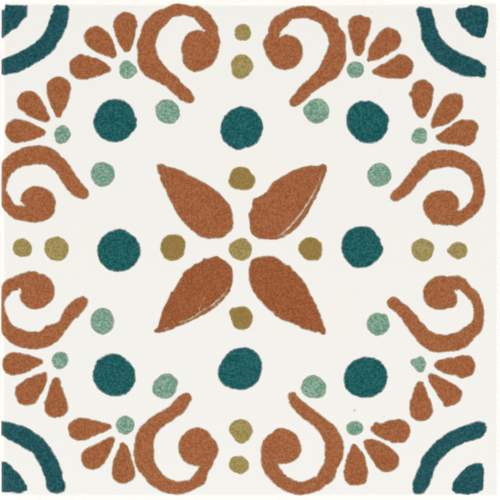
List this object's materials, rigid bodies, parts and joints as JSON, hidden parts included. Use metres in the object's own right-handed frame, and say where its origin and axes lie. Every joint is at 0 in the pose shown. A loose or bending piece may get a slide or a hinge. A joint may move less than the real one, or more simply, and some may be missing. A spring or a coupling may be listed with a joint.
{
  "type": "decorative ceramic tile",
  "caption": "Square hand-painted wall tile: tin-white glaze over a fired clay body, with scroll, petal and dot ornament in rust, teal, mint and olive, and softly rolled edges.",
  "frame": {"origin": "middle of the flat back face that is bedded on the wall", "axes": "+Z out of the decorated face; +Y to the top of the decorated face as pictured; +X to its right"},
  "size_m": [0.105, 0.105, 0.007],
  "materials": {
    "white_glaze": "satin",
    "fired_clay": "matte",
    "rust_enamel": "satin",
    "teal_enamel": "satin",
    "mint_enamel": "satin",
    "olive_enamel": "satin"
  },
  "bodies": {
    "root": {"tile": "white_glaze"}
  },
  "joints": []
}
